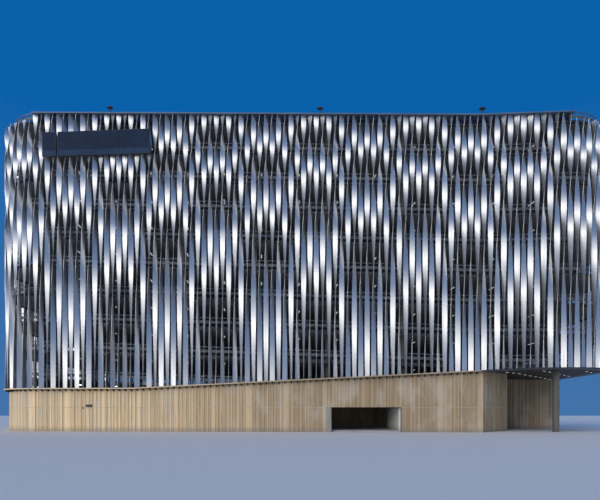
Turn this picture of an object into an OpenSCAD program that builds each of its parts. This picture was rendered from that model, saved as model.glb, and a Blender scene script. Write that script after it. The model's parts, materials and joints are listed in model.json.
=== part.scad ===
// Multi storey car park with a screen of twisted fins, as a 1:2 scale model.
// Every length is in millimetres of the model, so the real building is twice as large.
// The front faces -Y, +X is to the right of the front, and the ground is at Z = 0.
// The decks fall to the right as far as the foot of their ramp, and are level beyond it.

/* [Screen] */
// Distance between the fins along the screen
fin_pitch = 316; // [300:2:340]
// Fin spaces along the straight front, an even number
front_spaces = 86; // [82:2:90]
// Fin spaces along each straight end
end_spaces = 32; // [28:2:40]
// Fin spaces round each corner
corner_spaces = 13; // [12:1:15]
// Width of a fin seen face on
fin_w = 250; // [200:5:270]
// Depth of the fold along the middle of a fin
fin_fold = 46; // [30:2:60]
// Straight stretches that each twisted fin is cut into
fin_steps = 8; // [5:1:8]
// Half turns that a fin makes in its top pair of storeys
top_turning = 1.126; // [1:0.002:1.25]
// Turning in each pair of storeys as a share of the pair above it
turning_share = 0.615; // [0.55:0.005:0.7]
// Fins in one wave of the pattern
wave_fins = 16; // [8:2:20]
// Turning of the fins at the top, in half turns
first_phase = 0.21; // [0:0.01:1]
// How far the wave turns the fins, in half turns
phase_swing = 0.165; // [0:0.005:0.4]
// Depth of the fin feet below the first deck's underside, at the left end of the front
foot_left_drop = 400; // [350:10:450]
// Depth of the fin feet below the second deck's underside, at the right end of the front
foot_right_drop = 45; // [30:5:100]
// Fin spaces from the middle of the front to where the feet start to rise
foot_rise_from = -26; // [-30:1:-20]
// Fin spaces from the middle of the front to where the feet stop rising
foot_rise_to = 37; // [34:1:40]
// Thickness of the plates that the fins stand on
foot_plate_t = 60; // [40:5:80]
// Thickness of the channels that cap the fins
cap_plate_t = 40; // [30:5:60]
// Depth of the lips along the edges of the cap channels
cap_lip_h = 20; // [10:5:30]
// Thickness of those lips
cap_lip_t = 15; // [10:1:20]
// How far the foot and cap plates reach past a fin's widest line
plate_reach = 40; // [25:5:45]
// Height of the fin tops above the roof deck
fin_rise = 175; // [150:5:220]
// How much lower the corner fins end, which have no cap
corner_drop = 260; // [200:10:300]

/* [Decks] */
// Number of parking decks above the ground floor, the roof included
deck_count = 10; // [8:1:10]
// Height of the first deck's top above the ground, where the decks are level
first_deck_h = 1850; // [1820:5:1900]
// Storey height from deck to deck
storey_h = 1495; // [1475:5:1550]
// How much higher the decks are at the left end
ramp_rise = 940; // [900:10:980]
// Fin spaces from the middle of the front to the foot of the ramp
ramp_end_spaces = 29; // [27:1:30]
// Thickness of a deck
deck_t = 150; // [120:5:170]
// Thickness of the ground floor
floor_t = 75; // [50:5:120]
// Width of a square column
column_w = 250; // [200:10:270]
// Distance between the columns along the building
column_bay = 3820; // [3800:5:3840]
// Centre of the column to the left of the entrance
column_start_x = 1685; // [1660:5:1710]
// Distance of the outer column rows from the deck edge
column_inset = 600; // [550:10:700]

/* [Barriers] */
// Thickness of a barrier's rails and posts
bar_t = 30; // [20:2:40]
// Height of the middle rail's lower edge above the deck
mid_rail_h = 150; // [120:5:180]
// Width of the middle rail
mid_rail_w = 150; // [120:5:170]
// Height of the top rail above the deck
top_rail_h = 460; // [430:10:520]
// Distance of the barriers from the deck edge
barrier_inset = 40; // [20:5:80]
// Fin spaces between two barrier posts
post_spaces = 8; // [6:1:10]
// Height of the parapets on the roof
parapet_h = 400; // [350:10:450]
// Thickness of the parapets
parapet_t = 100; // [80:5:120]

/* [Plinth] */
// Thickness of the plinth walls
wall_t = 200; // [160:10:240]
// Distance of the plinth's face from the middle line of the fins
plinth_inset = 100; // [60:5:130]
// Space between the vehicle entrance and the columns beside it
entrance_margin = 50; // [20:5:80]
// Height of the vehicle entrance
entrance_h = 1240; // [1180:5:1400]
// Width of the pale pier beside the entrance
pier_w = 270; // [200:10:300]
// Length of the wall that leads in beside the entrance
entry_wall_l = 4700; // [3000:100:5600]
// Thickness of the wall that leads in beside the entrance
entry_wall_t = 100; // [80:10:150]
// Right end of the plinth's front
plinth_end_x = 9310; // [9290:10:9350]
// How far the slanting wall runs to the right
splay_x = 2030; // [1950:10:2150]
// How far the slanting wall runs back
splay_y = 2450; // [2350:10:2550]
// Distance of the open corner's rear wall from the middle of the building
open_back_y = 500; // [450:10:700]

/* [Signs and lamps] */
// Left side of the long sign panel
sign_left_x = -12135; // [-12200:5:-12000]
// Length of the long sign panel
sign_l = 4825; // [4500:25:5000]
// Width of the small sign panel
small_sign_w = 745; // [600:5:760]
// Space between the two sign panels
sign_space = 65; // [40:5:100]
// Depth of the sign panels' bottom below the top parking deck, at the middle of the long panel
sign_drop = 485; // [400:5:550]
// Height of the sign panels
sign_h = 1235; // [1100:5:1275]
// Thickness of the sign panels
sign_t = 60; // [40:5:80]
// Space between the sign panels and the fins
sign_clear = 40; // [20:5:60]
// Width of the arms that hold the sign panels
arm_w = 30; // [20:2:34]
// Height of the arms that hold the sign panels
arm_h = 80; // [60:5:110]
// Height of a roof lamp above the roof deck
lamp_h = 1090; // [900:10:1400]
// Diameter of a roof lamp's post
lamp_post_d = 60; // [40:5:80]
// Width of the square plate under a roof lamp's post
lamp_foot_w = 180; // [140:10:220]
// Thickness of the plate under a roof lamp's post
lamp_foot_t = 30; // [20:5:40]
// Length of a roof lamp's head
lamp_head_l = 340; // [260:10:420]
// Width of a roof lamp's head
lamp_head_w = 180; // [140:10:240]
// Thickness of a roof lamp's head
lamp_head_t = 70; // [50:5:100]
// Distance of the roof lamps from the deck edge
lamp_inset = 450; // [350:10:520]
// Places of the roof lamps along the building
lamp_xs = [-9820, 1280, 9470];

/* [Hidden] */
function deck_name(level) = level < deck_count ? str("parking_deck_", level) : "roof_deck";

// Curves are drawn fine enough to look round
$fn = 96;

// The middle line of the fins is a rectangle with round corners
half_x = front_spaces * fin_pitch / 2;
half_y = end_spaces * fin_pitch / 2;
corner_r = corner_spaces * fin_pitch * 2 / PI;
line_x = half_x + corner_r;
line_y = half_y + corner_r;

// Fin numbers at which each stretch of the screen begins, counted from the middle of the front
front_end = front_spaces / 2;
right_start = front_end + corner_spaces;
right_end = right_start + end_spaces;
back_start = right_end + corner_spaces;
back_end = back_start + front_spaces;
left_start = back_end + corner_spaces;
left_end = left_start + end_spaces;
fin_end = left_end + corner_spaces;

// Plinth faces and deck edges, measured in from the middle line of the fins
deck_edge = plinth_inset + wall_t;
face_r = corner_r - plinth_inset;
face_x = line_x - plinth_inset;
face_y = line_y - plinth_inset;
deck_r = corner_r - deck_edge;
deck_x = line_x - deck_edge;
deck_y = line_y - deck_edge;
plate_out = fin_w / 2 + plate_reach;
plate_in = plinth_inset + wall_t * 3 / 4;

// Heights where the decks are level
roof_h = first_deck_h + storey_h * (deck_count - 1);
fin_top_h = roof_h + fin_rise;
function deck_h(level) = first_deck_h + storey_h * (level - 1);
foot_left_h = deck_h(1) + ramp_rise - deck_t - foot_left_drop;
foot_right_h = deck_h(2) - deck_t - foot_right_drop;

// Lines in elevation, which all cuts are made with. They run past both ends of the building
far_x = line_x * 2;
sky_h = roof_h + ramp_rise + storey_h;
ramp_end_x = ramp_end_spaces * fin_pitch;
foot_from_x = foot_rise_from * fin_pitch;
foot_to_x = foot_rise_to * fin_pitch;
ground_line = [[-far_x, 0], [far_x, 0]];
ramp_line = [[-far_x, ramp_rise], [-half_x, ramp_rise], [ramp_end_x, 0], [far_x, 0]];
foot_line = [
    [-far_x, foot_left_h], [foot_from_x, foot_left_h], [foot_to_x, foot_right_h], [far_x, foot_right_h]
];
plinth_top_line = raised(foot_line, -foot_plate_t);
function raised(line, h) = [for (p = line) p + [0, h]];
function reversed(line) = [for (i = [len(line) - 1 : -1 : 0]) line[i]];
function ramp_h(x) = lookup(x, ramp_line);
function foot_h(x) = lookup(x, foot_line);

// Joints for thermal movement, at the bends of those lines
joint_w = 6;

// Outer corners of the plinth where it turns back under the open corner
entrance_left_x = column_start_x + column_w / 2 + entrance_margin;
entrance_right_x = column_start_x + column_bay - column_w / 2 - entrance_margin;
pier_left_x = entrance_left_x - pier_w;
splay_a = [plinth_end_x, -face_y];
splay_b = splay_a + [splay_x, splay_y];
splay_l = norm(splay_b - splay_a);
splay_u = (splay_b - splay_a) / splay_l;
// The same corners on the inner face
splay_a_in = splay_a + [
    -wall_t * splay_u.y + wall_t * (1 - splay_u.x) * splay_u.x / splay_u.y,
    wall_t
];
splay_b_in = [
    splay_b.x - wall_t,
    splay_a.y + wall_t * splay_u.x
        + (splay_x - wall_t + wall_t * splay_u.y) / splay_u.x * splay_u.y
];

// Column centres
column_ys = [-(deck_y - column_inset), deck_y - column_inset];
column_xs = [for (n = [-4 : 3]) column_start_x + n * column_bay];
open_column_x = column_xs[7];

// Colours
concrete_colour = [0.62, 0.61, 0.58];
plinth_colour = [0.80, 0.70, 0.56];
fin_colour = [0.86, 0.88, 0.92];
rail_colour = [0.70, 0.72, 0.74];
dark_colour = [0.22, 0.25, 0.27];

// Rounded rectangle inside the middle line of the fins, drawn at a given inset
module outline(inset) {
    r = corner_r - inset;
    square([2 * half_x, 2 * (line_y - inset)], center = true);
    square([2 * (line_x - inset), 2 * half_y], center = true);
    for (sx = [-1, 1], sy = [-1, 1]) translate([sx * half_x, sy * half_y]) circle(r);
}

// Everything between two lines in elevation, flat or as deep as the building
module band(low, high) {
    polygon(concat(low, reversed(high)));
}
module between(low, high) {
    translate([0, 2 * line_y, 0])
        rotate([90, 0, 0])
        linear_extrude(4 * line_y)
        band(low, high);
}

// Gaps across the building in plan
module joints(xs) {
    for (x = xs) translate([x, 0]) square([joint_w, 4 * line_y], center = true);
}

// Strips in plan along the four straight sides, from one distance outside the fins' line to one inside
module side_strips(out, in) {
    for (s = [-1, 1]) {
        translate([0, s * (line_y + (out - in) / 2)])
            square([2 * half_x - joint_w, out + in], center = true);
        translate([s * (line_x + (out - in) / 2), 0])
            square([out + in, 2 * half_y - joint_w], center = true);
    }
}

module ring_sector(centre, start, r_in, r_out, low, high) {
    translate([centre.x, centre.y, low])
        rotate([0, 0, start])
        rotate_extrude(angle = 90)
        translate([r_in, 0])
        square([r_out - r_in, high - low]);
}

// Plan of the open corner, on the inner faces of its walls
module open_corner_plan() {
    polygon([
        [splay_a_in.x, -2 * line_y], splay_a_in, splay_b_in,
        [splay_b_in.x, -open_back_y + wall_t], [far_x, -open_back_y + wall_t],
        [far_x, -2 * line_y]
    ]);
}

module enclosed_plan() {
    difference() {
        outline(deck_edge);
        open_corner_plan();
    }
}

module column_holes(xs, ys) {
    for (x = xs, y = ys) translate([x, y]) square(column_w, center = true);
}

module ground_slab() {
    color(concrete_colour)
        linear_extrude(floor_t)
        enclosed_plan();
}

// A deck is laid in three slabs: level, on the ramp, and level again
module deck(level) {
    top_line = raised(ramp_line, deck_h(level));
    color(concrete_colour)
        intersection() {
            linear_extrude(sky_h)
                difference() {
                    if (level == 1) enclosed_plan();
                    else outline(deck_edge);
                    joints([-half_x, ramp_end_x]);
                    if (level < deck_count) column_holes(column_xs, [column_ys[0], 0, column_ys[1]]);
                }
            between(raised(top_line, -deck_t), top_line);
        }
}

module columns(ys) {
    for (x = column_xs, y = ys) {
        foot = x == open_column_x && y < -open_back_y ? 0 : floor_t;
        color(concrete_colour)
            intersection() {
                translate([x - column_w / 2, y - column_w / 2, foot]) cube([column_w, column_w, sky_h]);
                between(ground_line, raised(ramp_line, roof_h - deck_t));
            }
    }
}

module open_corner_soffit() {
    color(dark_colour)
        intersection() {
            linear_extrude(sky_h)
                difference() {
                    intersection() {
                        outline(plate_in);
                        open_corner_plan();
                    }
                    column_holes([open_column_x], [column_ys[0]]);
                }
            between(plinth_top_line, foot_line);
        }
}

// Place of the fin with a given number: [x, y, angle of its outward direction, drop of its top]
function on_corner(n, centre, start) =
    let (a = start + 90 * (n + 0.5) / corner_spaces)
    [centre.x + corner_r * cos(a), centre.y + corner_r * sin(a), a, corner_drop];
function along(n) = (n + 0.5) * fin_pitch;
function fin_place(n) =
    n < front_end ? [along(n), -line_y, -90, 0]
    : n < right_start ? on_corner(n - front_end, [half_x, -half_y], -90)
    : n < right_end ? [line_x, along(n - right_start) - half_y, 0, 0]
    : n < back_start ? on_corner(n - right_end, [half_x, half_y], 0)
    : n < back_end ? [half_x - along(n - back_start), line_y, 90, 0]
    : n < left_start ? on_corner(n - back_end, [-half_x, half_y], 90)
    : n < left_end ? [-line_x, half_y - along(n - left_start), 180, 0]
    : on_corner(n - left_end, [-half_x, -half_y], 180);

// A fin turns evenly within a pair of storeys, and less in each pair than in the one above it
pair_h = 2 * storey_h;
function turns_above(pair) = top_turning * (1 - pow(turning_share, pair)) / (1 - turning_share);
function pair_turning(pair) = top_turning * pow(turning_share, pair);
function turns_at(depth) =
    let (pair = floor(depth / pair_h))
    turns_above(pair) + pair_turning(pair) * (depth / pair_h - pair);
function depth_of(turns) =
    let (pair = floor(ln(1 - turns * (1 - turning_share) / top_turning) / ln(turning_share)))
    pair_h * (pair + (turns - turns_above(pair)) / pair_turning(pair));

// The wave turns even and odd fins against each other, which draws the diamonds
wave_centre = 3;
function fin_phase(n) =
    let (wave = phase_swing * cos(360 * (n - wave_centre) / wave_fins))
    n % 2 == 0 ? first_phase + 0.5 + wave : first_phase - wave;

// Cross-section of a fin: a flat back and a shallow fold in front
fin_section = [[-fin_w / 2, fin_fold / 3], [0, -fin_fold * 2 / 3], [fin_w / 2, fin_fold / 3]];
ring_points = len(fin_section);

// Rings of points run down the fin. The first and last lie on the slopes of the cap and foot plates
function turned(p, a) = [p.x * cos(a) - p.y * sin(a), p.x * sin(a) + p.y * cos(a)];
function fin_ring(place, angle, step, depth) =
    [for (p = fin_section)
        let (
            q = turned(p, angle),
            x = place.x + q.x,
            z = step == fin_steps ? foot_h(x) : fin_top_h + ramp_h(step == 0 ? x : place.x) - depth
        )
        [x, place.y + q.y, z]
    ];
function fin_points(n) =
    let (
        place = fin_place(n),
        drop = place[3],
        phase = fin_phase(n),
        first = turns_at(drop),
        last = turns_at(fin_top_h + ramp_h(place.x) - foot_h(place.x))
    )
    [for (step = [0 : fin_steps])
        let (
            turns = first + (last - first) * step / fin_steps,
            angle = place[2] + 90 - 180 * (turns - phase)
        )
        each fin_ring(place, angle, step, step == 0 ? drop : depth_of(turns))
    ];
function fin_faces(first) =
    let (last = first + ring_points * fin_steps)
    concat(
        [[first, first + 1, first + 2]],
        [for (i = [0 : fin_steps - 1], j = [0 : ring_points - 1])
            let (
                a = first + ring_points * i + j,
                b = first + ring_points * i + (j + 1) % ring_points,
                c = a + ring_points,
                d = b + ring_points
            )
            each [[a, c, d], [a, d, b]]
        ],
        [[last, last + 2, last + 1]]
    );

// One stretch of the screen, from one fin number up to the first of the next stretch
module fins(from, end) {
    per_fin = ring_points * (fin_steps + 1);
    color(fin_colour)
        polyhedron(
            points = [for (n = [from : end - 1]) each fin_points(n)],
            faces = [for (n = [from : end - 1]) each fin_faces((n - from) * per_fin)]
        );
}

module fin_foot_plates() {
    r_in = corner_r - plate_in;
    r_out = corner_r + plate_out;
    color(rail_colour) {
        intersection() {
            linear_extrude(sky_h)
                difference() {
                    side_strips(plate_out, plate_in);
                    joints([foot_from_x, foot_to_x]);
                }
            between(plinth_top_line, foot_line);
        }
        for (s = [-1, 1]) {
            top = foot_h(s * half_x);
            ring_sector([s * half_x, half_y], s < 0 ? 90 : 0, r_in, r_out, top - foot_plate_t, top);
            ring_sector([s * half_x, -half_y], s < 0 ? 180 : 270, r_in, r_out, top - foot_plate_t, top);
        }
    }
}

// Channels over the fins, open below, with a lip along each edge
module fin_cap_plates() {
    cap_line = raised(ramp_line, fin_top_h);
    color(rail_colour)
        union() {
            intersection() {
                linear_extrude(sky_h)
                    difference() {
                        side_strips(plate_out, plate_out);
                        joints([ramp_end_x]);
                    }
                between(cap_line, raised(cap_line, cap_plate_t));
            }
            intersection() {
                linear_extrude(sky_h)
                    difference() {
                        union() {
                            side_strips(plate_out, cap_lip_t - plate_out);
                            side_strips(cap_lip_t - plate_out, plate_out);
                        }
                        joints([ramp_end_x]);
                    }
                between(raised(cap_line, -cap_lip_h), raised(cap_line, cap_plate_t / 2));
            }
        }
}

// Barrier in elevation on a given line: a top rail and a wide middle rail on posts
post_margin = 60;
module barrier_elevation(line, x0, x1) {
    room = x1 - x0 - 2 * post_margin;
    gaps = max(1, round(room / (post_spaces * fin_pitch)));
    intersection() {
        translate([x0, 0]) square([x1 - x0, sky_h]);
        union() {
            band(raised(line, mid_rail_h), raised(line, mid_rail_h + mid_rail_w));
            band(raised(line, top_rail_h - bar_t), raised(line, top_rail_h));
        }
    }
    for (n = [0 : gaps])
        intersection() {
            translate([x0 + post_margin + room * n / gaps - bar_t / 2, 0]) square([bar_t, sky_h]);
            band(line, raised(line, top_rail_h));
        }
}

module barrier(line, x0, x1) {
    color(rail_colour)
        rotate([90, 0, 0])
        linear_extrude(bar_t)
        barrier_elevation(line, x0, x1);
}

barrier_x = deck_x - barrier_inset;
barrier_y = deck_y - barrier_inset;
barrier_r = deck_r - barrier_inset;

// Barriers along the building follow the ramp, and stop at its joint
module long_barriers(level) {
    line = raised(ramp_line, deck_h(level));
    barrier(line, -half_x, ramp_end_x - joint_w / 2);
    barrier(line, ramp_end_x + joint_w / 2, half_x);
}
module end_barrier(h) {
    rotate([0, 0, 90]) barrier(raised(ground_line, h), -half_y, half_y);
}

// On the roof the straight barriers are parapets
module front_barriers() {
    translate([0, -barrier_y + bar_t, 0]) {
        barrier(raised(ramp_line, deck_h(1)), -half_x, pier_left_x);
        for (level = [2 : deck_count - 1]) long_barriers(level);
    }
}
module back_barriers() {
    translate([0, barrier_y, 0])
        for (level = [1 : deck_count - 1]) long_barriers(level);
}
module left_barriers() {
    translate([-barrier_x, 0, 0])
        for (level = [1 : deck_count - 1]) end_barrier(deck_h(level) + ramp_rise);
}
module right_barriers() {
    translate([barrier_x - bar_t, 0, 0])
        for (level = [2 : deck_count - 1]) end_barrier(deck_h(level));
}

corner_posts = 3;
post_recess = 2;
module corner_barrier(centre, start, h) {
    color(rail_colour)
        union() {
            for (rail = [[mid_rail_h, mid_rail_w], [top_rail_h - bar_t, bar_t]])
                ring_sector(
                    centre, start, barrier_r - bar_t, barrier_r,
                    h + rail[0], h + rail[0] + rail[1]
                );
            for (post = [0.5 : corner_posts - 0.5])
                translate([centre.x, centre.y, h])
                    rotate([0, 0, start + 90 * post / corner_posts])
                    translate([barrier_r - bar_t + post_recess, -bar_t / 2, 0])
                    cube([bar_t - 2 * post_recess, bar_t, top_rail_h - bar_t / 2]);
        }
}

module corner_barriers() {
    for (level = [1 : deck_count]) {
        left_h = deck_h(level) + ramp_rise;
        corner_barrier([-half_x, -half_y], 180, left_h);
        corner_barrier([-half_x, half_y], 90, left_h);
        if (level > 1) {
            corner_barrier([half_x, -half_y], 270, deck_h(level));
            corner_barrier([half_x, half_y], 0, deck_h(level));
        }
    }
}

module roof_parapets() {
    roof_line = raised(ramp_line, roof_h);
    color(dark_colour)
        intersection() {
            linear_extrude(sky_h)
                difference() {
                    side_strips(-deck_edge, deck_edge + parapet_t);
                    joints([ramp_end_x]);
                }
            between(roof_line, raised(roof_line, parapet_h));
        }
}

// Plinth, piece by piece from the left end of the front, each wall up to the foot plates
function box_points(x0, y0, x1, y1) = [[x0, y0], [x1, y0], [x1, y1], [x0, y1]];
module plinth_wall(points, from_h = 0) {
    color(plinth_colour)
        intersection() {
            translate([0, 0, from_h]) linear_extrude(sky_h) polygon(points);
            between(ground_line, plinth_top_line);
        }
}
module plinth_front_left() {
    plinth_wall(box_points(-half_x, -face_y, pier_left_x, -deck_y));
}
module entrance_lintel() {
    plinth_wall(box_points(pier_left_x, -face_y, entrance_right_x, -deck_y), entrance_h);
}
module plinth_front_right() {
    plinth_wall([[entrance_right_x, -face_y], splay_a, splay_a_in, [entrance_right_x, -deck_y]]);
}
module plinth_slanting_wall() {
    plinth_wall([splay_a, splay_b, splay_b_in, splay_a_in]);
}
module open_corner_side_wall() {
    plinth_wall([
        splay_b, [splay_b.x, -open_back_y + wall_t],
        [splay_b.x - wall_t, -open_back_y + wall_t], splay_b_in
    ]);
}
module open_corner_rear_wall() {
    plinth_wall(box_points(splay_b.x, -open_back_y, deck_x, -open_back_y + wall_t));
}
module plinth_right_wall() {
    plinth_wall(box_points(deck_x, -open_back_y, face_x, half_y));
}
module plinth_back_wall() {
    plinth_wall(box_points(-half_x, deck_y, half_x, face_y));
}
module plinth_left_wall() {
    plinth_wall(box_points(-face_x, -half_y, -deck_x, half_y));
}
module plinth_corners() {
    left_top = foot_left_h - foot_plate_t;
    right_top = foot_right_h - foot_plate_t;
    color(plinth_colour) {
        ring_sector([-half_x, -half_y], 180, deck_r, face_r, 0, left_top);
        ring_sector([-half_x, half_y], 90, deck_r, face_r, 0, left_top);
        ring_sector([half_x, half_y], 0, deck_r, face_r, 0, right_top);
    }
}

// The pale pier stands under the left end of the lintel
module entrance_pier() {
    color(plinth_colour)
        linear_extrude(entrance_h)
        polygon(box_points(pier_left_x, -face_y, entrance_left_x, -deck_y));
}

// Wall that leads cars in from the entrance
module entrance_side_wall() {
    color(plinth_colour)
        translate([entrance_right_x - entry_wall_t, -deck_y, floor_t])
        cube([entry_wall_t, entry_wall_l, entrance_h - floor_t]);
}

// Bare sign panel on arms that reach between the fins to the edge of the top parking deck
sign_deck = deck_count - 1;
sign_back_y = -line_y - fin_w / 2 - sign_clear;
sign_low_h = deck_h(sign_deck) + ramp_h(sign_left_x + sign_l / 2) - sign_drop;
module bare_sign(left, width, arm_spaces) {
    color(dark_colour) {
        translate([left, sign_back_y - sign_t, sign_low_h]) cube([width, sign_t, sign_h]);
        for (n = arm_spaces) {
            x = n * fin_pitch;
            deck_middle = deck_h(sign_deck) + ramp_h(x) - deck_t / 2;
            translate([x - arm_w / 2, sign_back_y - sign_t / 2, deck_middle - arm_h / 2])
                cube([arm_w, -deck_y - sign_back_y + sign_t / 2, arm_h]);
        }
    }
}
function arm_near(x) = round(x / fin_pitch);
module sign_panel() {
    first = arm_near(sign_left_x + fin_pitch);
    last = arm_near(sign_left_x + sign_l - fin_pitch);
    bare_sign(sign_left_x, sign_l, [first : floor((last - first) / 3) : last]);
}
module small_sign_panel() {
    left = sign_left_x - sign_space - small_sign_w;
    middle = arm_near(left + small_sign_w / 2);
    bare_sign(left, small_sign_w, [middle]);
}

// Lamps along the front of the roof, and the same along the back, on plates that fit the slope
module roof_lamp(x, y) {
    base = roof_h + ramp_h(x);
    color(dark_colour)
        union() {
            intersection() {
                translate([x - lamp_foot_w / 2, y - lamp_foot_w / 2, 0])
                    cube([lamp_foot_w, lamp_foot_w, base + lamp_foot_t]);
                between(raised(ramp_line, roof_h), raised(ground_line, sky_h));
            }
            translate([x, y, base + lamp_foot_t / 2])
                cylinder(d = lamp_post_d, h = lamp_h - (lamp_foot_t + lamp_head_t) / 2);
            translate([x - lamp_head_l / 2, y - lamp_head_w / 2, base + lamp_h - lamp_head_t])
                cube([lamp_head_l, lamp_head_w, lamp_head_t]);
        }
}
module roof_lamps() {
    for (x = lamp_xs, s = [-1, 1]) roof_lamp(x, s * (deck_y - lamp_inset));
}

ground_slab();
plinth_front_left();
entrance_pier();
entrance_lintel();
plinth_front_right();
plinth_slanting_wall();
open_corner_side_wall();
open_corner_rear_wall();
plinth_right_wall();
plinth_back_wall();
plinth_left_wall();
plinth_corners();
entrance_side_wall();
for (level = [1 : deck_count])
    deck(level);
columns(column_ys);  // outer_columns
columns([0]);  // middle_columns
open_corner_soffit();
fins(-front_end, front_end);  // front_fins
fins(right_start, right_end);  // right_fins
fins(back_start, back_end);  // back_fins
fins(left_start, left_end);  // left_fins
fins(front_end, right_start);  // front_right_corner_fins
fins(right_end, back_start);  // back_right_corner_fins
fins(back_end, left_start);  // back_left_corner_fins
fins(left_end, fin_end);  // front_left_corner_fins
fin_foot_plates();
fin_cap_plates();
front_barriers();
back_barriers();
left_barriers();
right_barriers();
corner_barriers();
roof_parapets();
sign_panel();
small_sign_panel();
roof_lamps();
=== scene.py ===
import json
import math
import random

import bmesh
import bpy
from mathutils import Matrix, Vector


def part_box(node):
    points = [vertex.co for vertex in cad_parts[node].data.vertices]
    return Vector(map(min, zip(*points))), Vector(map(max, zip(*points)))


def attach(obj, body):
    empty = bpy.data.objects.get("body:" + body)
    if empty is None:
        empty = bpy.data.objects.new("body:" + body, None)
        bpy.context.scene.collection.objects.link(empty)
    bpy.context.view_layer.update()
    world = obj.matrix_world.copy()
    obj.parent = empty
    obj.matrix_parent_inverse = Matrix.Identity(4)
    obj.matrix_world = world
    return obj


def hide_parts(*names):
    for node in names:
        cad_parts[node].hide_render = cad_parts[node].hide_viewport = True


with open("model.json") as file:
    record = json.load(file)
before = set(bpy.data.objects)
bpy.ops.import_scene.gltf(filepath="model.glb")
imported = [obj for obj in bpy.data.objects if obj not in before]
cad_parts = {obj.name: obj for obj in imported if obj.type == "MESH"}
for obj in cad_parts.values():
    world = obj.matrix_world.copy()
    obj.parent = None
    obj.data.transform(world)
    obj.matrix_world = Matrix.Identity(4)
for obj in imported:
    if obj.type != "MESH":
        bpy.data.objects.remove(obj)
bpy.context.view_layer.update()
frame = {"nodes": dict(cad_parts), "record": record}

# Every length is in metres of the 1:2 scale model. The front faces -Y, and the ground is at Z = 0.
BODY = "root"
FIN_SLOT = "anodised_aluminium"
STEEL_SLOT = "galvanised_steel"
DARK_SLOT = "dark_panel"
PLINTH_SLOT = "precast_plinth"
PALE_SLOT = "pale_pier"

# The screen: fins stand a pitch apart on a rectangle with round corners
FIN_PITCH = 0.316
FRONT_SPACES = 86
END_SPACES = 32
CORNER_SPACES = 13
HALF_X = FRONT_SPACES * FIN_PITCH / 2
HALF_Y = END_SPACES * FIN_PITCH / 2
CORNER_R = CORNER_SPACES * FIN_PITCH * 2 / math.pi
LINE_X = HALF_X + CORNER_R
LINE_Y = HALF_Y + CORNER_R

# Fins
FIN_HALF_W = 0.125
FIN_FOLD = 0.007
FIN_EDGE = 0.005
FIN_RINGS = 110
FOLD_ANGLE = 6.0
SMOOTH_ANGLE = 30.0
TOP_TURNING = 1.126
TURNING_SHARE = 0.615
WAVE_FINS = 16
WAVE_CENTRE = 3
FIRST_PHASE = 0.21
PHASE_SWING = 0.165
CORNER_DROP = 0.260

# Plinth and decks, measured in from the middle line of the fins
FACE_INSET = 0.100
WALL_T = 0.200
DECK_INSET = FACE_INSET + WALL_T
DECK_T = 0.150
DECK_COUNT = 10
FOOT_PLATE_T = 0.060
PLATE_OUT = 0.165
CAP_LIP_H = 0.020
PARAPET_T = 0.100

# Bends of the decks' ramp and of the fin feet, in fin spaces from the middle of the front
RAMP_END_X = 29 * FIN_PITCH
FOOT_FROM_X = -26 * FIN_PITCH
FOOT_TO_X = 37 * FIN_PITCH
BENDS = (-HALF_X, FOOT_FROM_X, RAMP_END_X, FOOT_TO_X, HALF_X)

# Heights and places that the CAD model gives, for the level part of the decks
roof_low, roof_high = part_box("roof_deck")
ROOF_H = roof_low.z + DECK_T
RAMP_RISE = roof_high.z - ROOF_H
FIRST_DECK_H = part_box("parking_deck_1")[0].z + DECK_T
STOREY_H = (ROOF_H - FIRST_DECK_H) / (DECK_COUNT - 1)
FIN_TOP_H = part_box("fin_cap_plates")[0].z + CAP_LIP_H
FOOT_LEFT_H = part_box("plinth_left_wall")[1].z + FOOT_PLATE_T
FOOT_RIGHT_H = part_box("plinth_right_wall")[1].z + FOOT_PLATE_T
PARAPET_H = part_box("roof_parapets")[1].z - roof_high.z
PIER_LEFT_X, ENTRANCE_LEFT_X = (corner.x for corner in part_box("entrance_pier"))
ENTRANCE_RIGHT_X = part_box("entrance_lintel")[1].x
ENTRANCE_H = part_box("entrance_lintel")[0].z
FACE_X, FACE_Y = LINE_X - FACE_INSET, LINE_Y - FACE_INSET
DECK_X, DECK_Y = LINE_X - DECK_INSET, LINE_Y - DECK_INSET
OPEN_BACK_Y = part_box("open_corner_rear_wall")[0].y
SPLAY_START = (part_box("plinth_front_right")[1].x, -FACE_Y)
SPLAY_END = (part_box("plinth_slanting_wall")[1].x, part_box("open_corner_side_wall")[0].y)
COLUMN_LEFT_X, COLUMN_RIGHT_X, COLUMN_BACK_Y = 13.020, 13.270, -6.646     # the one in the open corner


def along(x, x0, h0, x1, h1):
    """Height on a straight slope between two points, level beyond them."""
    return h0 + (h1 - h0) * min(max((x - x0) / (x1 - x0), 0), 1)


def ramp_h(x):
    """How much higher the decks are than in their level part."""
    return along(x, -HALF_X, RAMP_RISE, RAMP_END_X, 0)


def foot_h(x):
    """Height of the fin feet, which rises along the front from left to right."""
    return along(x, FOOT_FROM_X, FOOT_LEFT_H, FOOT_TO_X, FOOT_RIGHT_H)


def plinth_top(x):
    return foot_h(x) - FOOT_PLATE_T


def deck_top(level):
    """A deck's height as a function of the place along the building."""
    flat = FIRST_DECK_H + STOREY_H * (level - 1)
    return lambda x: flat + ramp_h(x)


# Shapes

def added(name, data):
    """A new object in the scene."""
    made = bpy.data.objects.new(name, data)
    bpy.context.scene.collection.objects.link(made)
    return made


def rectangle(out_low, out_high, up_low, up_high):
    return [(out_low, up_low), (out_high, up_low), (out_high, up_high), (out_low, up_high)]


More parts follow.
